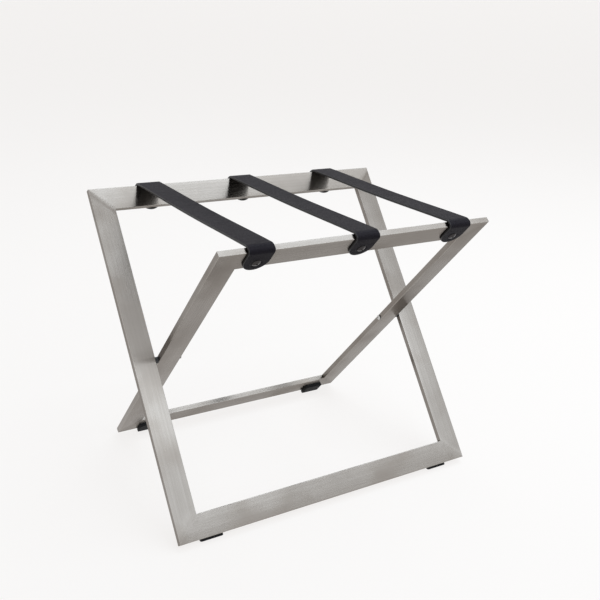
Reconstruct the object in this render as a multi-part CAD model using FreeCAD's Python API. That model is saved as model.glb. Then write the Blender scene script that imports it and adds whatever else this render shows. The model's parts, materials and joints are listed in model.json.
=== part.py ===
import FreeCAD, Part
import math
import os

# A folding luggage bench: two rectangular frames of flat steel tube cross on a pivot and three
# leather straps join their top rails. Every frame is drawn upright, in the XZ plane with the pivot
# at the origin, and is then leaned and lifted into place. X runs along the rails and Z is up.

# Driving sizes, in millimetres and degrees.
OUTER_WIDTH = 600.0
BAR_WIDTH = 40.0
BAR_DEPTH = 10.0
BAR_WALL = 1.5
BAR_CORNER = 1.0
UPPER_REACH = 314.0
LOWER_REACH = 299.0
LEAN = 38.6
VENT_HOLE = 3.6

# Pivot.
SPACER_THICK = 5.0
SPACER_DIA = 11.0
SPIGOT_DIA = 6.8
SPIGOT_LENGTH = 3.5
FLANGE_DIA = 9.5
FLANGE_THICK = 1.0
BOLT_DIA = 5.0
BOLT_HEAD_DIA = 9.5
BOLT_HEAD_HEIGHT = 2.75
BOLT_SOCKET = 3.0
THREAD_ENGAGEMENT = 10.0

# Threaded inserts, used at the pivots and under the strap screws.
INSERT_DIA = 6.6
PIVOT_INSERT_LENGTH = 12.0
STRAP_INSERT_LENGTH = 7.0

# Straps and their screws.
STRAP_WIDTH = 44.0
STRAP_THICK = 4.0
STRAP_BEND = 2.5
STRAP_INSET = 5.4
TONGUE_LENGTH = 42.0
SCREW_DROP = 24.0
SCREW_DIA = 5.0
SCREW_HEAD_DIA = 14.0
SCREW_HEAD_HEIGHT = 3.0
SCREW_HEAD_RIM = 0.6
SCREW_SOCKET = 3.0
SOCKET_DEPTH = 1.6
SCREW_SINK = 0.6

# Feet.
FOOT_WIDTH = 40.0
FOOT_HEIGHT = 27.5
FOOT_THICK = 7.0
FOOT_OVERHANG = 4.5
FOOT_FACET = 5.0
FOOT_CORNER = 2.0
FOOT_EDGE = 1.0

# Clearances.
RUNNING_FIT = 0.05
END_PLAY = 0.1
FIXED_FIT = 0.05
LEATHER_FIT = 0.4

# Sizes that follow.
ANGLE = math.radians(LEAN)
HALF_DEPTH = BAR_DEPTH / 2
SIDE_GAP = SPACER_THICK + END_PLAY
INNER_WIDTH = OUTER_WIDTH - 2 * BAR_WIDTH - 2 * SIDE_GAP
STRAP_PITCH = INNER_WIDTH / 2 - BAR_WIDTH - STRAP_INSET - STRAP_WIDTH / 2
STRAP_LIFT = STRAP_BEND - BAR_CORNER
STRAP_RISE = STRAP_LIFT / (1 - math.cos(ANGLE))
STRAP_CENTRES = (-STRAP_PITCH, 0.0, STRAP_PITCH)
SCREW_LEVEL = UPPER_REACH - SCREW_DROP
INSERT_HOLE = INSERT_DIA + 2 * FIXED_FIT
PIVOT_HEIGHT = (
    (LOWER_REACH + FOOT_OVERHANG) * math.cos(ANGLE)
    + (HALF_DEPTH + FOOT_THICK) * math.sin(ANGLE)
    - FOOT_FACET * math.sin(ANGLE) * math.cos(ANGLE)
)

V = FreeCAD.Vector
X = V(1, 0, 0)
Y = V(0, 1, 0)
Z = V(0, 0, 1)


def placed(shape, frame):
    """Leans an upright frame's piece back for the outer frame, or its mirror image for the inner."""
    out = shape.copy()
    out.rotate(V(0, 0, 0), X, -LEAN)
    if frame == "inner":
        out = out.mirror(V(0, 0, 0), Y)
    out.translate(V(0, 0, PIVOT_HEIGHT))
    return out


def frame_width(frame):
    return OUTER_WIDTH if frame == "outer" else INNER_WIDTH


def cylinder(dia, length, start, way):
    return Part.makeCylinder(dia / 2, length, start, way)


def prism(points, way):
    """The closed outline through points, carried along way."""
    wire = Part.makePolygon(list(points) + [points[0]])
    return Part.Face(wire).extrude(way)


def tube(length):
    """A flat tube along Z from the origin: its wide sides face Y."""
    low = V(-BAR_WIDTH / 2, -HALF_DEPTH, 0)
    outside = Part.makeBox(BAR_WIDTH, BAR_DEPTH, length, low)
    edges = [e for e in outside.Edges if abs(e.tangentAt(e.FirstParameter).z) > 0.9]
    outside = outside.makeFillet(BAR_CORNER, edges)
    cavity = Part.makeBox(
        BAR_WIDTH - 2 * BAR_WALL,
        BAR_DEPTH - 2 * BAR_WALL,
        length,
        low + V(BAR_WALL, BAR_WALL, 0),
    )
    return outside.cut(cavity)


def mitre(width, side, level, piece):
    """The wedge beyond the 45 degree mitre at one corner of a frame, cut from a leg or a rail."""
    end = 1 if level > 0 else -1
    corner = V(side * width / 2, 0, level)
    inward = V(-side, 0, -end)
    outer = corner - inward * 2
    inner = corner + inward * (BAR_WIDTH + 2)
    third = V(inner.x, 0, outer.z) if piece == "leg" else V(outer.x, 0, inner.z)
    lift = V(0, -BAR_DEPTH, 0)
    return prism([outer + lift, inner + lift, third + lift], V(0, 2 * BAR_DEPTH, 0))


def vent(width, side):
    """The small hole drilled into the inner corner where a leg meets the bottom rail."""
    way = V(side, 0, -1)
    way.normalize()
    corner = V(side * (width / 2 - BAR_WIDTH), 0, BAR_WIDTH - LOWER_REACH)
    return cylinder(VENT_HOLE, VENT_HOLE + 2 * BAR_WALL, corner - way * VENT_HOLE, way)


def leg(frame, side):
    """One leg, mitred at both ends, with the holes of its pivot."""
    width = frame_width(frame)
    bar = tube(UPPER_REACH + LOWER_REACH)
    bar.translate(V(side * (width - BAR_WIDTH) / 2, 0, -LOWER_REACH))
    for level in (UPPER_REACH, -LOWER_REACH):
        bar = bar.cut(mitre(width, side, level, "leg"))
    inner_face = width / 2 - BAR_WIDTH
    start = V(side * (inner_face - 1), 0, 0)
    if frame == "outer":
        hole = cylinder(INSERT_HOLE, BAR_WALL + 2, start, X * side)
    else:
        hole = cylinder(SPIGOT_DIA + 2 * FIXED_FIT, BAR_WIDTH + 2, start, X * side)
    return bar.cut(hole).cut(vent(width, side))


def rail(frame, level):
    """The rail at the top or the bottom of a frame; the top one has the strap screws' holes."""
    width = frame_width(frame)
    end = 1 if level > 0 else -1
    bar = tube(width)
    bar.rotate(V(0, 0, 0), Y, 90)
    bar.translate(V(-width / 2, 0, level - end * BAR_WIDTH / 2))
    for side in (-1, 1):
        bar = bar.cut(mitre(width, side, level, "rail"))
        if end < 0:
            bar = bar.cut(vent(width, side))
    if end > 0:
        for x in STRAP_CENTRES:
            start = V(x, HALF_DEPTH + 1, SCREW_LEVEL)
            bar = bar.cut(cylinder(INSERT_HOLE, BAR_WALL + 2, start, -Y))
    return bar


def insert(length, start, way, thread_dia):
    """A threaded insert whose mouth is at start."""
    body = cylinder(INSERT_DIA, length, start, way)
    return body.cut(cylinder(thread_dia + 2 * FIXED_FIT, length, start, way))


def domed_head(dia, height, rim, start, way):
    """A round head with a straight rim and a domed top, standing on start along way."""
    half = dia / 2
    shoulder = V(half, 0, rim)
    crown = V(0, 0, height)
    rise = height - rim
    radius = (half * half + rise * rise) / (2 * rise)
    turn = math.asin(half / radius) / 2
    middle = V(radius * math.sin(turn), 0, height - radius * (1 - math.cos(turn)))
    edges = [
        Part.makeLine(V(0, 0, 0), V(half, 0, 0)),
        Part.makeLine(V(half, 0, 0), shoulder),
        Part.Arc(shoulder, middle, crown).toShape(),
        Part.makeLine(crown, V(0, 0, 0)),
    ]
    head = Part.Face(Part.Wire(edges)).revolve(V(0, 0, 0), Z, 360)
    return aimed(head, start, way)


def hex_socket(across, depth, height, start, way):
    """The six-sided socket sunk from the crown of a head."""
    radius = across / math.sqrt(3)
    points = []
    for k in range(6):
        turn = math.radians(60 * k)
        points.append(V(radius * math.cos(turn), radius * math.sin(turn), height - depth))
    return aimed(prism(points, V(0, 0, depth + 1)), start, way)


def aimed(shape, start, way):
    """Turns a shape drawn along Z to point along way from start."""
    out = shape.copy()
    out.Placement = FreeCAD.Placement(start, FreeCAD.Rotation(Z, way))
    return out


def screw(dia, length, head, start, way):
    """A button-head screw: start is under its head and way is where the head points."""
    head_dia, height, rim, socket = head
    body = domed_head(head_dia, height, rim, start, way)
    body = body.fuse(cylinder(dia, length, start, -way))
    body = body.cut(hex_socket(socket, SOCKET_DEPTH, height, start, way))
    return body.removeSplitter()


def pivot_pieces(side):
    """The bolt and insert that turn with the outer frame, and the spacer and bush of the inner."""
    inner_face = INNER_WIDTH / 2 - BAR_WIDTH
    outer_face = INNER_WIDTH / 2
    insert_face = OUTER_WIDTH / 2 - BAR_WIDTH
    outward = X * side
    under_head = inner_face - FLANGE_THICK - END_PLAY
    head = (BOLT_HEAD_DIA, BOLT_HEAD_HEIGHT, SCREW_HEAD_RIM, BOLT_SOCKET)
    bolt_length = insert_face + THREAD_ENGAGEMENT - under_head
    bolt = screw(BOLT_DIA, bolt_length, head, outward * under_head, -outward)
    nut = insert(PIVOT_INSERT_LENGTH, outward * insert_face, outward, BOLT_DIA)

    bore = cylinder(BOLT_DIA + 2 * RUNNING_FIT, OUTER_WIDTH / 2, V(0, 0, 0), outward)
    flange_start = outward * (inner_face - FLANGE_THICK)
    bush = cylinder(FLANGE_DIA, FLANGE_THICK, flange_start, outward)
    bush = bush.fuse(cylinder(SPIGOT_DIA, FLANGE_THICK + SPIGOT_LENGTH, flange_start, outward))
    spigot_start = outward * (outer_face - SPIGOT_LENGTH)
    spacer = cylinder(SPACER_DIA, SPACER_THICK, outward * outer_face, outward)
    spacer = spacer.fuse(
        cylinder(SPIGOT_DIA, SPACER_THICK + SPIGOT_LENGTH, spigot_start, outward)
    )
    return {
        "pivot_bolt": (bolt, "outer"),
        "pivot_insert": (nut, "outer"),
        "pivot_bush": (bush.cut(bore).removeSplitter(), "inner"),
        "pivot_spacer": (spacer.cut(bore).removeSplitter(), "inner"),
    }


def strap_screw(x):
    under_head = V(x, HALF_DEPTH + STRAP_THICK - SCREW_SINK, SCREW_LEVEL)
    length = STRAP_THICK - SCREW_SINK + STRAP_INSERT_LENGTH - 1
    head = (SCREW_HEAD_DIA, SCREW_HEAD_HEIGHT, SCREW_HEAD_RIM, SCREW_SOCKET)
    return screw(SCREW_DIA, length, head, under_head, Y)


def strap_insert(x):
    return insert(STRAP_INSERT_LENGTH, V(x, HALF_DEPTH, SCREW_LEVEL), -Y, SCREW_DIA)


def foot(frame, side):
    """A rubber block on the lower side of a bottom rail, cut flat where it meets the floor."""
    outer_end = frame_width(frame) / 2 - BAR_WIDTH
    left = outer_end - FOOT_WIDTH if side > 0 else -outer_end
    low = V(left, HALF_DEPTH, -LOWER_REACH - FOOT_OVERHANG)
    block = Part.makeBox(FOOT_WIDTH, FOOT_THICK, FOOT_HEIGHT, low)
    corners = [e for e in block.Edges if abs(e.tangentAt(e.FirstParameter).y) > 0.9]
    block = block.makeFillet(FOOT_CORNER, corners)
    face_y = HALF_DEPTH + FOOT_THICK
    rim = [e for e in block.Edges if abs(e.BoundBox.YMin - face_y) < 1e-6]
    block = block.makeFillet(FOOT_EDGE, rim)
    block = placed(block, frame)
    below = Part.makeBox(2 * OUTER_WIDTH, 2 * OUTER_WIDTH, 100, V(-OUTER_WIDTH, -OUTER_WIDTH, -100))
    return block.cut(below)


def leaned(y, z):
    """A point of the upright outer frame, leaned into place about the pivot."""
    return V(
        0,
        y * math.cos(ANGLE) + z * math.sin(ANGLE),
        z * math.cos(ANGLE) - y * math.sin(ANGLE),
    )


def bend(centre, radius, first, last):
    """An arc about centre from the direction first to the direction last."""
    middle = first + last
    middle.normalize()
    points = [centre + way * radius for way in (first, middle, last)]
    return Part.Arc(*points).toShape()


def half_strap_outline():
    """The back half of a strap seen from the side: flat span, bow over the top edge and tongue.

    The leather leaves the span at the rail's near corner, bows over the top edge by STRAP_LIFT and
    turns round the far corner with an inner radius of STRAP_BEND.
    """
    along = leaned(0, 1)
    away = leaned(1, 0)
    near = leaned(-HALF_DEPTH, UPPER_REACH)
    tip = leaned(HALF_DEPTH, UPPER_REACH - TONGUE_LENGTH)
    rise = near - Z * STRAP_RISE
    level_run = BAR_DEPTH - STRAP_BEND - STRAP_RISE * math.sin(ANGLE)
    turn = rise + along * (STRAP_RISE - STRAP_BEND) + away * level_run
    t = STRAP_THICK
    edges = [
        Part.makeLine(V(0, 0, near.z), near),
        bend(rise, STRAP_RISE, Z, along),
        Part.makeLine(rise + along * STRAP_RISE, turn + along * STRAP_BEND),
        bend(turn, STRAP_BEND, along, away),
        Part.makeLine(turn + away * STRAP_BEND, tip),
        Part.makeLine(tip, tip + away * t),
        Part.makeLine(tip + away * t, turn + away * (STRAP_BEND + t)),
        bend(turn, STRAP_BEND + t, away, along),
        Part.makeLine(turn + along * (STRAP_BEND + t), rise + along * (STRAP_RISE + t)),
        bend(rise, STRAP_RISE + t, along, Z),
        Part.makeLine(near + Z * t, V(0, 0, near.z + t)),
        Part.makeLine(V(0, 0, near.z + t), V(0, 0, near.z)),
    ]
    return Part.Face(Part.Wire(edges))


def strap_cutters():
    """What is cut from a tongue at x = 0: the round tip, the screw's hole and the head's seat."""
    half = STRAP_WIDTH / 2
    round_level = UPPER_REACH - TONGUE_LENGTH + half
    depth = 4 * STRAP_THICK
    side = half + 5
    tip = Part.makeBox(2 * side, depth, half + 5, V(-side, HALF_DEPTH - 1, round_level - half - 5))
    tip = tip.cut(cylinder(STRAP_WIDTH, depth, V(0, HALF_DEPTH - 1, round_level), Y))
    hole = cylinder(SCREW_DIA + 2 * LEATHER_FIT, depth, V(0, HALF_DEPTH - 1, SCREW_LEVEL), Y)
    seat = V(0, HALF_DEPTH + STRAP_THICK - SCREW_SINK, SCREW_LEVEL)
    pocket = cylinder(SCREW_HEAD_DIA + 2 * LEATHER_FIT, depth, seat, Y)
    return [tip, hole, pocket]


def strap(x):
    half = half_strap_outline().extrude(X * STRAP_WIDTH)
    half.translate(V(-STRAP_WIDTH / 2, 0, PIVOT_HEIGHT))
    whole = half.fuse(half.mirror(V(0, 0, 0), Y)).removeSplitter()
    for cutter in strap_cutters():
        for frame in ("outer", "inner"):
            whole = whole.cut(placed(cutter, frame))
    whole.translate(X * x)
    return whole


def build():
    """Every piece by its node name."""
    pieces = {}
    for frame in ("outer", "inner"):
        pieces[frame + "_top_rail"] = placed(rail(frame, UPPER_REACH), frame)
        pieces[frame + "_bottom_rail"] = placed(rail(frame, -LOWER_REACH), frame)
    for side, name in ((-1, "left"), (1, "right")):
        for frame in ("outer", "inner"):
            pieces[frame + "_leg_" + name] = placed(leg(frame, side), frame)
            pieces[frame + "_foot_" + name] = foot(frame, side)
        for kind, (shape, frame) in pivot_pieces(side).items():
            pieces[kind + "_" + name] = placed(shape, frame)
    for x, name in zip(STRAP_CENTRES, ("left", "middle", "right")):
        pieces["strap_" + name] = strap(x)
        for frame in ("outer", "inner"):
            pieces[frame + "_screw_" + name] = placed(strap_screw(x), frame)
            pieces[frame + "_insert_" + name] = placed(strap_insert(x), frame)
    return pieces


os.makedirs("parts", exist_ok=True)
for node, shape in build().items():
    shape.exportStep("parts/" + node + ".step")
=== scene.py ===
import json
import math

import bmesh
import bpy
import numpy as np
from mathutils import Matrix, Vector

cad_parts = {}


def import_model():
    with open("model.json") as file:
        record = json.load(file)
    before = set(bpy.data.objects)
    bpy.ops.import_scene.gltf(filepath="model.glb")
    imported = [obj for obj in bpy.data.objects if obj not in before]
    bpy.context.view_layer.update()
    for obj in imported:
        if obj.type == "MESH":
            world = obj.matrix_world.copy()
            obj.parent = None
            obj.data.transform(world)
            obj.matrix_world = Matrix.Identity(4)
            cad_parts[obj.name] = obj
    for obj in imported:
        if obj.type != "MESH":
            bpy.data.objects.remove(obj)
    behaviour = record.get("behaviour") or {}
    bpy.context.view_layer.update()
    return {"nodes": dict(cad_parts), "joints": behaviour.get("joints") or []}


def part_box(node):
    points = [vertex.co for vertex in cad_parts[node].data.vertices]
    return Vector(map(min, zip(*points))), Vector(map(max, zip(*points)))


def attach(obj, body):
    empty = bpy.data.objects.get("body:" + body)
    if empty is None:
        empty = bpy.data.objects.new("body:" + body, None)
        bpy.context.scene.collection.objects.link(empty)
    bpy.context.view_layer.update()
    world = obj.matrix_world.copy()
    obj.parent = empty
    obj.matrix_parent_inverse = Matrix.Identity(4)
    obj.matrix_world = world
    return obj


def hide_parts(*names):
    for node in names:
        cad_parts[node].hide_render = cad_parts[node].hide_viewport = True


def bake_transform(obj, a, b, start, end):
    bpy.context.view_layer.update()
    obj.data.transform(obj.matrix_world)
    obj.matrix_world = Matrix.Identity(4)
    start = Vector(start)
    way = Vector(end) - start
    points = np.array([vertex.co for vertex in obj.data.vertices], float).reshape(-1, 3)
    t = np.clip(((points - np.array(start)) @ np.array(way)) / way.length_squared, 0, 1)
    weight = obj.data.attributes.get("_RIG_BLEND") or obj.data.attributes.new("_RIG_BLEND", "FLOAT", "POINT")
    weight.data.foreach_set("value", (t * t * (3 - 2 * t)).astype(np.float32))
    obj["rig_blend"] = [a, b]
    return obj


# A folding luggage bench: two frames of flat brushed tube crossed on a pivot, with three leather
# straps over their top rails. Lengths are in metres. The frames, feet, pivots and screws keep
# their own solids and get finishes here; the straps are shaped here in full.

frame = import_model()

FRAMES = ("outer", "inner")
SIDES = ("left", "right")
THIRDS = ("left", "middle", "right")
BARS = ("top_rail", "bottom_rail", "leg_left", "leg_right")

# Sizes of the tube and the straps that a node's box doesn't give by itself.
BAR_DEPTH = 0.010
BAR_CORNER = 0.001
STRAP_THICK = 0.004
STRAP_BEND = 0.0025
TONGUE_LENGTH = 0.042

# The straps' own shape: their rounded cut edge, sag, seams and the hollow under a screw.
STRAP_RIM = 0.0013
STRAP_SAG = 0.0022
DISH_SHARE = 0.25
SEAM_LEAD = 0.0006
SEAM_GUARD = 0.00004
DIMPLE_RADIUS = 0.0074
DIMPLE_SLOPE = 0.0034
DIMPLE_DEPTH = 0.00066
RIDGE_SHARE = 0.22
EDGE_SHARE = 0.4

# How finely the straps are divided.
RIM_POINTS = 11
TIP_STEPS = 24
END_ACROSS = 49
SPAN_ACROSS = 25
SPAN_ROWS = 97
WELD_DISTANCE = 1e-7

# The brushing of the steel. A grain is (width, length, noise detail).
HAIRS = (0.0004, 0.03, 2.0)
BANDS = (0.0028, 0.35, 2.0)
HAIR_DEPTH = 0.0000003
TUBE_CROWN = 0.0008
MITRE_BLEND = 0.018
GROUND_NEAR = 0.01
GROUND_FAR = 0.04
# The edge strip along the bars: smoother from wear, its colour painted brighter as a highlight.
WORN_HIGHLIGHT_WIDTH = 0.0012
WORN_HIGHLIGHT_SIDE_CORE = 0.0003
WORN_HIGHLIGHT_FACE_CORE = 0.0002


def middle(node):
    low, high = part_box(node)
    return (low + high) / 2


def extent(node):
    low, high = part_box(node)
    return high - low


# The lean of the frames and the reach of their edges from the pivot, read from the nodes.
PIVOT = Vector(frame["joints"][0]["pos_m"])
TO_TOP = middle("outer_top_rail") - PIVOT
TO_BOTTOM = middle("outer_bottom_rail") - PIVOT
LEAN = math.atan2(TO_TOP.y, TO_TOP.z)
BAR_WIDTH = extent("outer_leg_left").x
UPPER_REACH = TO_TOP.length + BAR_WIDTH / 2
LOWER_REACH = TO_BOTTOM.length + BAR_WIDTH / 2
STRAP_HALF = extent("strap_middle").x / 2
STRAP_RISE = (STRAP_BEND - BAR_CORNER) / (1 - math.cos(LEAN))


# ---------------------------------------------------------------- straps

def walk(start, stretches):
    """A line in the side view, made of straights and arcs.

    Each stretch is (length, turn, steps). The heading is the running sum of the turns, and each
    step advances by its chord, which is its length times the sinc of half its turn.
    """
    length = np.concatenate([np.full(steps, span / steps) for span, turn, steps in stretches])
    turn = np.concatenate([np.full(steps, turn / steps) for span, turn, steps in stretches])
    heading = np.concatenate([[0.0], np.cumsum(turn)])
    between = heading[:-1] + turn / 2
    chord = length * np.sinc(turn / (2 * np.pi))
    moves = np.stack([np.cos(between), np.sin(between)], axis=1) * chord[:, None]
    line = np.concatenate([[start], start + np.cumsum(moves, axis=0)])
    along = np.concatenate([[0.0], np.cumsum(length)])
    return along, line, heading


def strap_section(across):
    """The closed section of a strap, as three arrays: side, rim and lift.

    side is the place across the flat face, from -1 to 1; rim is how far the point stands out on
    the rounded cut edge, the cosine of its angle; lift is the height above the middle layer.
    """
    half = STRAP_THICK / 2
    angle = np.linspace(np.pi / 2, -np.pi / 2, RIM_POINTS)
    straight = (half - STRAP_RIM) * np.sign(np.round(np.sin(angle), 9))
    edge_lift = straight + STRAP_RIM * np.sin(angle)
    face = np.linspace(-1, 1, across)
    flat = np.zeros(across - 2)
    edge = np.ones(RIM_POINTS)
    side = np.concatenate([face[1:-1], edge, face[::-1][1:-1], -edge])
    rim = np.concatenate([flat, np.cos(angle), flat, np.cos(angle)])
    lift = np.concatenate([flat + half, edge_lift, flat - half, edge_lift[::-1]])
    return side, rim, lift


def strap_outline(along, rounded):
    """Half the flat outline of a strap: points and outward directions, as (along, across) arrays.

    A straight edge at half the width, and on a rounded end a quarter circle of that radius.
    """
    straight = along[along <= along[-1] - STRAP_HALF] if rounded else along
    turn = np.linspace(0, np.pi / 2, TIP_STEPS + 1)[1:] if rounded else np.zeros(0)
    centre = along[-1] - STRAP_HALF
    point = np.stack([
        np.concatenate([straight, centre + STRAP_HALF * np.sin(turn)]),
        np.concatenate([np.full(straight.size, STRAP_HALF), STRAP_HALF * np.cos(turn)]),
    ])
    outward = np.stack([
        np.concatenate([np.zeros(straight.size), np.sin(turn)]),
        np.concatenate([np.ones(straight.size), np.cos(turn)]),
    ])
    return point, outward


def flat_strap(along, rounded, across):
    """A strap laid flat, as grids of along, across, lift and rim: its section at every row.

    The flat face ends one rim radius inside the outline, and the rim's arc stands on that line.
    """
    side, rim, lift = strap_section(across)
    point, outward = strap_outline(along, rounded)
    inset = point - STRAP_RIM * outward
    stand = STRAP_RIM * rim[None, :]
    rows_along = inset[0][:, None] + stand * outward[0][:, None]
    rows_across = side[None, :] * inset[1][:, None]
    rows_across = rows_across + np.sign(side)[None, :] * stand * outward[1][:, None]
    ones = np.ones_like(rows_along)
    return rows_along, rows_across, ones * lift[None, :], ones * rim[None, :]


def smooth_step(value, low, high):
    """0 below low, 1 above high, and 3t^2 - 2t^3 between them."""
    t = np.clip((value - low) / (high - low), 0, 1)
    return t * t * (3 - 2 * t)


def leather_mesh(name, place, flat, rim, closed_tip):
    """Skins a grid of rings as one closed piece and keeps its flat coordinates for the grain.

    A face whose corners lie past EDGE_SHARE of the rim's arc on average takes the second finish.
    The flat cut across a strap, where its span begins, has many corners and stays unsmoothed.
    """
    rows, ring = rim.shape
    index = np.arange(rows * ring).reshape(rows, ring)
    here = index[:-1]
    ahead = index[1:]
    quads = np.stack([here, ahead, np.roll(ahead, -1, 1), np.roll(here, -1, 1)], axis=-1)
    faces = quads.reshape(-1, 4).tolist()
    faces.append(index[0][::-1].tolist())
    if not closed_tip:
        faces.append(index[-1].tolist())
    mesh = bpy.data.meshes.new(name)
    mesh.from_pydata(place.reshape(-1, 3).tolist(), [], faces)
    hide = mesh.attributes.new("hide", "FLOAT_VECTOR", "POINT")
    hide.data.foreach_set("vector", flat.reshape(-1).astype(np.float32))
    cut = mesh.attributes.new("cut_edge", "FLOAT", "POINT")
    cut.data.foreach_set("value", rim.reshape(-1).astype(np.float32))
    work = bmesh.new()
    work.from_mesh(mesh)
    bmesh.ops.remove_doubles(work, verts=work.verts, dist=WELD_DISTANCE)
    bmesh.ops.recalc_face_normals(work, faces=work.faces)
    rim_share = work.verts.layers.float["cut_edge"]
    for face in work.faces:
        share = sum(corner[rim_share] for corner in face.verts) / len(face.verts)
        face.material_index = int(share > EDGE_SHARE)
        face.smooth = len(face.verts) <= 4
    work.to_mesh(mesh)
    work.free()
    piece = bpy.data.objects.new(name, mesh)
    bpy.context.scene.collection.objects.link(piece)
    return piece


def near_edge():
    """Where the level span meets the rail's top edge, as (outward, up) from the pivot."""
    outward = UPPER_REACH * math.sin(LEAN) - BAR_DEPTH / 2 * math.cos(LEAN)
    upward = UPPER_REACH * math.cos(LEAN) + BAR_DEPTH / 2 * math.sin(LEAN)
    return outward, upward


def seam_place():
    """Where a strap's end piece meets its span, as (outward, up) from the pivot."""
    outward, upward = near_edge()
    return outward - SEAM_LEAD, upward + STRAP_THICK / 2


def strap_end(name, x, facing):
    """A strap's end: it bows over the rail's top edge and runs down its face to a round tongue.

    The side line leaves the near corner on an arc, runs level over the edge, rounds the far
    corner and drops straight. A point of the flat strap at lift h stands h off that line, along
    its normal. Round the screw the leather is pressed in by a smooth step of the distance.
    """
    half = STRAP_THICK / 2
    square = math.pi / 2
    edge_run = BAR_DEPTH - STRAP_BEND - STRAP_RISE * math.sin(LEAN)
    along, line, heading = walk(np.array(seam_place()), [
        (SEAM_GUARD, 0.0, 1),
        (SEAM_LEAD - SEAM_GUARD, 0.0, 1),
        ((STRAP_RISE + half) * LEAN, -LEAN, 10),
        (edge_run, 0.0, 3),
        ((STRAP_BEND + half) * square, -square, 14),
        (TONGUE_LENGTH - BAR_CORNER, 0.0, 46),
    ])
    flow, spread, lift, rim = flat_strap(along, True, END_ACROSS)

    screw = middle("outer_screw_middle") - PIVOT
    drop = UPPER_REACH - (screw.y * math.sin(LEAN) + screw.z * math.cos(LEAN))
    screw_at = along[-1] - TONGUE_LENGTH + drop
    distance = np.hypot(flow - screw_at, spread)
    outer = np.clip(lift / (STRAP_THICK / 2), 0, 1)
    pressed = 1 - smooth_step(distance, DIMPLE_RADIUS, DIMPLE_RADIUS + DIMPLE_SLOPE)
    ridge = np.exp(-((distance - DIMPLE_RADIUS - DIMPLE_SLOPE) / DIMPLE_SLOPE) ** 2)
    shaped = lift - outer * DIMPLE_DEPTH * (pressed - RIDGE_SHARE * ridge)

    turn = np.interp(flow, along, heading)
    outward = np.interp(flow, along, line[:, 0]) - np.sin(turn) * shaped
    upward = np.interp(flow, along, line[:, 1]) + np.cos(turn) * shaped
    place = np.stack([x + spread, facing * outward, PIVOT.z + upward], axis=-1)
    flat = np.stack([spread + x, facing * (flow + seam_place()[0]), shaped], axis=-1)
    return leather_mesh(name, place, flat, rim, True)


def strap_span(name, x):
    """The level part of a strap between the rails.

    It sags by a bell of (1 - t^2)^2, t running from -1 to 1, so both ends leave the rails level.
    A narrow row at each end keeps the cut face from bending the shading of the strap's top.
    """
    half, height = seam_place()
    inner = np.linspace(-half + SEAM_GUARD, half - SEAM_GUARD, SPAN_ROWS)
    along = np.concatenate([[-half], inner, [half]])
    flow, spread, lift, rim = flat_strap(along, False, SPAN_ACROSS)
    bell = (1 - (flow / half) ** 2) ** 2
    dish = DISH_SHARE * (spread / STRAP_HALF) ** 2 * STRAP_SAG
    upward = height + lift - bell * (STRAP_SAG - dish)
    place = np.stack([x + spread, flow, PIVOT.z + upward], axis=-1)
    flat = np.stack([spread + x, flow, lift], axis=-1)
    return leather_mesh(name, place, flat, rim, False)


def straps():
    """Three straps, each an end on either frame and a span that bends between the frames."""
    half = seam_place()[0]
    made = []
    for third in THIRDS:
        node = "strap_" + third
        x = middle(node).x
        front = strap_end(node + "_front", x, -1)
        back = strap_end(node + "_back", x, 1)
        span = strap_span(node + "_span", x)
        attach(front, "inner_frame")
        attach(back, "outer_frame")
        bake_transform(span, "inner_frame", "outer_frame", start=(0, -half, 0), end=(0, half, 0))
        for piece in (front, back, span):
            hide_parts(node)
            made.append(piece)
    return made


# ---------------------------------------------------------------- finishes

class Finish:
    """A node material with one Principled shader; each method adds a node and gives its result."""

    def __init__(self, name):
        self.material = bpy.data.materials.new(name)
        self.material.use_nodes = True
        self.tree = self.material.node_tree
        self.shader = self.tree.nodes["Principled BSDF"]

    def feed(self, socket, value):
        if isinstance(value, bpy.types.NodeSocket):
            self.tree.links.new(value, socket)
        else:
            socket.default_value = value

    def add(self, kind, feeds, **settings):
        node = self.tree.nodes.new("ShaderNode" + kind)
        for key, value in settings.items():
            setattr(node, key, value)
        for key, value in feeds.items():
            self.feed(node.inputs[key], value)
        return node

    def calc(self, operation, first, second=0.0):
        return self.add("Math", {0: first, 1: second}, operation=operation).outputs[0]

    def step(self, value, low, high, start=0.0, end=1.0):
        feeds = {"Value": value, "From Min": low, "From Max": high, "To Min": start, "To Max": end}
        return self.add("MapRange", feeds, interpolation_type="SMOOTHSTEP").outputs[0]

    def mix(self, share, first, second):
        feeds = {"Factor": share, "A": first, "B": second}
        return self.add("Mix", feeds, data_type="FLOAT").outputs["Result"]

    def tint(self, share, first, second):
        node = self.add("Mix", {0: share}, data_type="RGBA")
        self.feed(node.inputs[6], first)
        self.feed(node.inputs[7], second)
        return node.outputs[2]

    def aim(self, share, first, second):
        node = self.add("Mix", {0: share}, data_type="VECTOR")
        self.feed(node.inputs[4], first)
        self.feed(node.inputs[5], second)
        return node.outputs[1]

    def stretch(self, vector, factors):
        feeds = {0: vector, 1: factors}
        return self.add("VectorMath", feeds, operation="MULTIPLY").outputs[0]

    def noise(self, vector, scale, detail=2.0, rough=0.5):
        feeds = {"Vector": vector, "Scale": scale, "Detail": detail, "Roughness": rough}
        return self.add("TexNoise", feeds).outputs["Fac"]

    def cells(self, vector, scale, feature="F1", random=1.0):
        feeds = {"Vector": vector, "Scale": scale, "Randomness": random}
        return self.add("TexVoronoi", feeds, feature=feature).outputs["Distance"]

    def bump(self, height, depth, strength=1.0):
        feeds = {"Height": height, "Distance": depth, "Strength": strength}
        self.feed(self.shader.inputs["Normal"], self.add("Bump", feeds).outputs[0])

    def object_place(self):
        return self.add("TexCoord", {}).outputs["Object"]

    def attribute(self, name, output):
        return self.add("Attribute", {}, attribute_name=name).outputs[output]

    def set(self, **values):
        for key, value in values.items():
            self.feed(self.shader.inputs[key.replace("_", " ")], value)
        return self.material


def rgb(red, green, blue):
    return (red, green, blue, 1.0)


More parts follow.
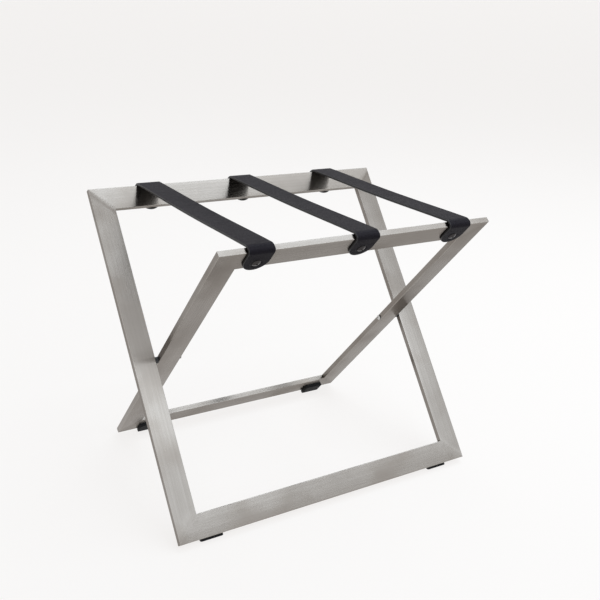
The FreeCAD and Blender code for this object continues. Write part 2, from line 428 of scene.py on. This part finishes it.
def brushed_steel(name, body, half_width):
    """Satin steel, brushed along each bar, the grain turning softly where a leg meets a rail.

    The place is taken in the frame's own plane: x along the rails, z along the legs. A bar is a
    rail where its top or bottom edge is nearer than its outer edge. Near the mitres the weld has
    been ground, so clouds take over from the streaks there. The faces shade as if they bulged by
    TUBE_CROWN, and a warm patina lies over all in wide patches. The long edges are smoother from
    wear, and their colour is painted brighter, partly wear and partly a painted highlight.
    """
    made = Finish(name)
    tilt = -LEAN if body == "outer_frame" else LEAN
    feeds = {"Vector": made.object_place(), "Location": PIVOT, "Rotation": (tilt, 0.0, 0.0)}
    own = made.add("Mapping", feeds, vector_type="TEXTURE").outputs[0]
    split = made.add("SeparateXYZ", {0: own})
    from_side = made.calc("SUBTRACT", half_width, made.calc("ABSOLUTE", split.outputs[0]))
    from_top = made.calc("SUBTRACT", UPPER_REACH, split.outputs[2])
    from_bottom = made.calc("ADD", split.outputs[2], LOWER_REACH)
    from_end = made.calc("MINIMUM", from_top, from_bottom)
    past_mitre = made.calc("SUBTRACT", from_side, from_end)
    rail = made.step(past_mitre, -MITRE_BLEND, MITRE_BLEND)

    def brushed(grain):
        fine, long, detail = grain
        legs = made.noise(made.stretch(own, (1 / fine, 1 / fine, 1 / long)), 1.0, detail)
        rails = made.noise(made.stretch(own, (1 / long, 1 / fine, 1 / fine)), 1.0, detail)
        return made.mix(rail, legs, rails)

    hairs = brushed(HAIRS)
    bands = brushed(BANDS)
    clouds = made.noise(own, 38.0, 3.0, 0.55)
    smudge = made.noise(own, 9.0, 3.0)
    ground = made.step(made.calc("ABSOLUTE", past_mitre), GROUND_FAR, GROUND_NEAR)
    shallow = made.calc("MINIMUM", from_side, from_end)
    off_middle = made.calc("SUBTRACT", shallow, BAR_WIDTH / 2)
    from_ridge = made.calc("SUBTRACT", BAR_WIDTH / 2, made.calc("ABSOLUTE", off_middle))
    side_ridge = made.step(from_ridge, WORN_HIGHLIGHT_WIDTH, WORN_HIGHLIGHT_SIDE_CORE)
    off_plane = made.calc("ABSOLUTE", split.outputs[1])
    half_depth = BAR_DEPTH / 2
    face_ridge = made.step(off_plane, half_depth - WORN_HIGHLIGHT_WIDTH, half_depth - WORN_HIGHLIGHT_FACE_CORE)
    worn_and_highlight = made.calc("MULTIPLY", side_ridge, face_ridge)

    patina = made.step(made.noise(own, 9.0, 2.0), 0.4, 0.62, 0.0, 0.5)
    shade = made.mix(0.65, hairs, bands)
    shade = made.mix(made.calc("ADD", 0.2, made.calc("MULTIPLY", ground, 0.5)), shade, clouds)
    streaks = made.step(shade, 0.35, 0.65)
    steel = made.tint(streaks, rgb(0.249, 0.227, 0.206), rgb(0.285, 0.262, 0.24))
    steel = made.tint(patina, steel, rgb(0.2, 0.173, 0.15))
    # The long edges' colour is painted brighter: partly wear, partly a painted highlight.
    steel = made.tint(made.calc("MULTIPLY", worn_and_highlight, 0.5), steel, rgb(0.46, 0.435, 0.41))
    rough = made.step(hairs, 0.25, 0.75, 0.26, 0.3)
    rough = made.calc("ADD", rough, made.step(smudge, 0.4, 0.7, -0.02, 0.04))
    rough = made.mix(worn_and_highlight, rough, 0.2)
    along_leg = Vector((0, math.sin(-tilt), math.cos(tilt)))
    direction = made.aim(rail, along_leg, Vector((1, 0, 0)))
    turned = made.add("VectorTransform", {"Vector": direction}, vector_type="VECTOR",
                      convert_from="OBJECT", convert_to="WORLD")
    across = made.calc("DIVIDE", off_middle, BAR_WIDTH / 2)
    crown = made.calc("MULTIPLY", made.calc("MULTIPLY", across, across), -TUBE_CROWN)
    made.bump(made.calc("ADD", crown, made.calc("MULTIPLY", hairs, HAIR_DEPTH)), 1.0)
    return made.set(Base_Color=steel, Metallic=1.0, Roughness=rough, Anisotropic=1.0,
                    Anisotropic_Rotation=0.25, Tangent=turned.outputs[0])


def leather():
    """Black bridle leather: a pebbled face with fine pores and a dull flesh side."""
    made = Finish("black_leather")
    hide = made.attribute("hide", "Vector")
    lift = made.add("SeparateXYZ", {0: hide}).outputs[2]
    face = made.step(lift, -0.0004, 0.0008)
    pebbles = made.cells(hide, 900.0, "SMOOTH_F1")
    pores = made.noise(hide, 2600.0, 3.0, 0.6)
    cloud = made.noise(hide, 24.0, 4.0)
    scuff = made.noise(made.stretch(hide, (30.0, 190.0, 30.0)), 1.0, 4.0, 0.6)
    colour = made.tint(cloud, rgb(0.0098, 0.0083, 0.0105), rgb(0.0148, 0.0128, 0.0158))
    colour = made.tint(made.step(pebbles, 0.35, 0.75), colour, rgb(0.0077, 0.0066, 0.0084))
    colour = made.tint(face, rgb(0.016, 0.0145, 0.014), colour)
    rough = made.calc("ADD", made.step(pebbles, 0.2, 0.8, 0.46, 0.62),
                      made.step(scuff, 0.45, 0.75, 0.0, 0.09))
    rough = made.mix(face, 0.85, rough)
    height = made.calc("SUBTRACT", made.calc("MULTIPLY", pores, 0.35), pebbles)
    made.bump(height, 0.00016, 0.6)
    return made.set(Base_Color=colour, Roughness=rough, Specular_IOR_Level=0.06,
                    Specular_Tint=rgb(0.95, 0.87, 1.0))


def waxed_edge():
    """The straps' cut edge, dyed black and burnished with wax, with fine lengthwise fibres."""
    made = Finish("waxed_leather_edge")
    hide = made.attribute("hide", "Vector")
    fibres = made.noise(made.stretch(hide, (160.0, 160.0, 3200.0)), 1.0, 3.0, 0.6)
    wax = made.noise(hide, 120.0, 3.0)
    colour = made.tint(fibres, rgb(0.005, 0.0045, 0.006), rgb(0.012, 0.0105, 0.013))
    rough = made.step(wax, 0.35, 0.7, 0.3, 0.45)
    made.bump(fibres, 0.00008, 0.5)
    return made.set(Base_Color=colour, Roughness=rough, Specular_IOR_Level=0.45)


def rubber():
    """Dull moulded rubber with a fine spark-eroded texture and a little dust in its hollows."""
    made = Finish("black_rubber")
    place = made.object_place()
    grain = made.noise(place, 1500.0, 3.0, 0.7)
    dust = made.noise(place, 70.0, 4.0, 0.6)
    dusty = made.step(dust, 0.45, 0.8)
    colour = made.tint(dusty, rgb(0.005, 0.0048, 0.006), rgb(0.012, 0.0115, 0.013))
    rough = made.calc("ADD", made.step(grain, 0.3, 0.7, 0.62, 0.8),
                      made.step(dust, 0.5, 0.8, 0.0, 0.08))
    made.bump(grain, 0.00012, 0.5)
    return made.set(Base_Color=colour, Roughness=rough, Specular_IOR_Level=0.25)


def nylon():
    """Black turned nylon: satin, with faint rings round the pivot axis."""
    made = Finish("black_nylon")
    place = made.object_place()
    from_pivot = made.add("VectorMath", {0: place, 1: PIVOT}, operation="SUBTRACT").outputs[0]
    from_axis = made.stretch(from_pivot, (0.0, 1.0, 1.0))
    radius = made.add("VectorMath", {0: from_axis}, operation="LENGTH").outputs["Value"]
    rings = made.calc("SINE", made.calc("MULTIPLY", radius, 12000.0))
    speck = made.noise(place, 900.0, 2.0)
    colour = made.tint(speck, rgb(0.010, 0.010, 0.011), rgb(0.019, 0.019, 0.021))
    rough = made.step(speck, 0.3, 0.7, 0.42, 0.55)
    made.bump(made.calc("ADD", made.calc("MULTIPLY", rings, 0.3), speck), 0.00003, 0.4)
    return made.set(Base_Color=colour, Roughness=rough)


def turned_metal(name, dark, light, low_rough, high_rough):
    """Polished fastener metal with fine handling marks and a slight cloud in its shine."""
    made = Finish(name)
    place = made.object_place()
    cloud = made.noise(place, 260.0, 3.0)
    marks = made.noise(made.stretch(place, (900.0, 4200.0, 900.0)), 1.0, 3.0, 0.65)
    colour = made.tint(cloud, dark, light)
    rough = made.calc("ADD", made.step(cloud, 0.3, 0.7, low_rough, high_rough),
                      made.step(marks, 0.55, 0.8, 0.0, 0.06))
    made.bump(marks, 0.00001, 0.3)
    return made.set(Base_Color=colour, Metallic=1.0, Roughness=rough)


def dress(nodes, material):
    """Puts one finish on every material slot of the nodes."""
    for node in nodes:
        for holder in frame["nodes"][node].material_slots:
            holder.material = material


def dress_all():
    for name in FRAMES:
        width = extent(name + "_top_rail").x
        steel = brushed_steel(name + "_brushed_steel", name + "_frame", width / 2)
        dress([name + "_" + bar for bar in BARS], steel)
    dark_screw = turned_metal(
        "dark_screw", rgb(0.038, 0.035, 0.036), rgb(0.056, 0.052, 0.052),
        low_rough=0.07, high_rough=0.12)
    bright_bolt = turned_metal(
        "bright_bolt", rgb(0.50, 0.49, 0.475), rgb(0.58, 0.57, 0.555),
        low_rough=0.14, high_rough=0.22)
    plain_insert = turned_metal(
        "plain_insert", rgb(0.42, 0.41, 0.40), rgb(0.5, 0.49, 0.475),
        low_rough=0.3, high_rough=0.4)
    dress([f"{name}_screw_{third}" for name in FRAMES for third in THIRDS], dark_screw)
    dress([f"{name}_insert_{third}" for name in FRAMES for third in THIRDS], plain_insert)
    dress([f"pivot_insert_{side}" for side in SIDES], plain_insert)
    dress([f"pivot_bolt_{side}" for side in SIDES], bright_bolt)
    dress([f"pivot_{part}_{side}" for part in ("bush", "spacer") for side in SIDES], nylon())
    dress([f"{name}_foot_{side}" for name in FRAMES for side in SIDES], rubber())
    hide = leather()
    edge = waxed_edge()
    for piece in straps():
        piece.data.materials.append(hide)
        piece.data.materials.append(edge)


# ---------------------------------------------------------------- studio

FLOOR_REACH = 2000.0
FLOOR_DROP = 0.0003
FLOOR_TONE = rgb(0.875, 0.857, 0.845)
FLOOR_GLOW = 0.92
FLOOR_SHADE = rgb(0.185, 0.178, 0.172)
BACKDROP_TONE = rgb(0.891, 0.886, 0.884)
SKY_LIGHT = rgb(0.3, 0.325, 0.34)
LAMP_TONE = (0.81, 0.91, 1.0)

CAMERA_PLACE = (-0.76543, -1.12845, 0.83364)
CAMERA_YAW = 31.47
CAMERA_PITCH = 22.39
CAMERA_ROLL = 3.13
CAMERA_LENS = 48.94
CAMERA_SHIFT = (0.08, 0.03)


def seen_directly(tree):
    """1 for what the camera, a mirror or glass sees, 0 for light on its way to a surface."""
    path = tree.nodes.new("ShaderNodeLightPath")
    total = path.outputs["Is Camera Ray"]
    for kind in ("Is Glossy Ray", "Is Transmission Ray"):
        add = tree.nodes.new("ShaderNodeMath")
        add.operation = "ADD"
        add.use_clamp = True
        tree.links.new(total, add.inputs[0])
        tree.links.new(path.outputs[kind], add.inputs[1])
        total = add.outputs[0]
    return total


def floor():
    """A plain pale floor, just under the feet: seen directly it is lifted towards white."""
    corner = FLOOR_REACH
    points = [(-corner, -corner, -FLOOR_DROP), (corner, -corner, -FLOOR_DROP),
              (corner, corner, -FLOOR_DROP), (-corner, corner, -FLOOR_DROP)]
    mesh = bpy.data.meshes.new("floor")
    mesh.from_pydata(points, [], [(0, 1, 2, 3)])
    slab = bpy.data.objects.new("floor", mesh)
    bpy.context.scene.collection.objects.link(slab)
    made = Finish("pale_floor")
    seen = seen_directly(made.tree)
    mesh.materials.append(made.set(
        Base_Color=made.tint(seen, FLOOR_TONE, FLOOR_SHADE),
        Emission_Color=FLOOR_TONE,
        Emission_Strength=made.calc("MULTIPLY", seen, FLOOR_GLOW),
        Roughness=0.9,
        Specular_IOR_Level=0.1,
    ))


def lamp(name, place, target, width, depth, level):
    """A soft rectangular lamp; level is its brightness, the same for any size."""
    data = bpy.data.lights.new(name, "AREA")
    data.shape = "RECTANGLE"
    data.size = width
    data.size_y = depth
    data.energy = level * math.pi * width * depth
    data.color = LAMP_TONE
    lit = bpy.data.objects.new(name, data)
    lit.location = place
    lit.rotation_euler = (Vector(target) - Vector(place)).to_track_quat("-Z", "Y").to_euler()
    lit.visible_camera = False
    bpy.context.scene.collection.objects.link(lit)


def world():
    """Soft light from all round, which shows as the floor's own pale tone where it is seen."""
    made = bpy.data.worlds.new("studio")
    made.use_nodes = True
    bpy.context.scene.world = made
    tree = made.node_tree
    tone = tree.nodes.new("ShaderNodeMix")
    tone.data_type = "RGBA"
    tone.inputs[6].default_value = SKY_LIGHT
    tone.inputs[7].default_value = BACKDROP_TONE
    tree.links.new(seen_directly(tree), tone.inputs[0])
    tree.links.new(tone.outputs[2], tree.nodes["Background"].inputs["Color"])


def camera():
    """The camera, from its place, yaw, pitch and roll."""
    yaw, pitch, roll = (math.radians(v) for v in (CAMERA_YAW, CAMERA_PITCH, CAMERA_ROLL))
    level = math.cos(pitch)
    ahead = Vector((math.sin(yaw) * level, math.cos(yaw) * level, -math.sin(pitch)))
    right = Vector((math.cos(yaw), -math.sin(yaw), 0.0))
    up = right.cross(ahead)
    rolled_right = right * math.cos(roll) + up * math.sin(roll)
    rolled_up = up * math.cos(roll) - right * math.sin(roll)
    data = bpy.data.cameras.new("camera")
    data.lens = CAMERA_LENS
    data.shift_x, data.shift_y = CAMERA_SHIFT
    seen = bpy.data.objects.new("camera", data)
    turn = Matrix((rolled_right, rolled_up, -ahead)).transposed()
    seen.matrix_world = Matrix.Translation(CAMERA_PLACE) @ turn.to_4x4()
    bpy.context.scene.collection.objects.link(seen)
    bpy.context.scene.camera = seen


def studio():
    floor()
    world()
    camera()
    lamp("overhead", place=(1.2, 0.22, 2.6), target=(1.2, 0.22, 0.0),
         width=2.8, depth=1.9, level=2.8)
    lamp("front", place=(0.5, -1.9, 2.7), target=(0.5, 0.0, 2.7),
         width=5.8, depth=3.2, level=1.22)
    lamp("key", place=(0.4, -1.85, 2.1), target=(0.4, 0.0, 2.1),
         width=1.9, depth=0.66, level=1.5)
    bpy.context.scene.view_settings.view_transform = "Standard"


dress_all()
studio()
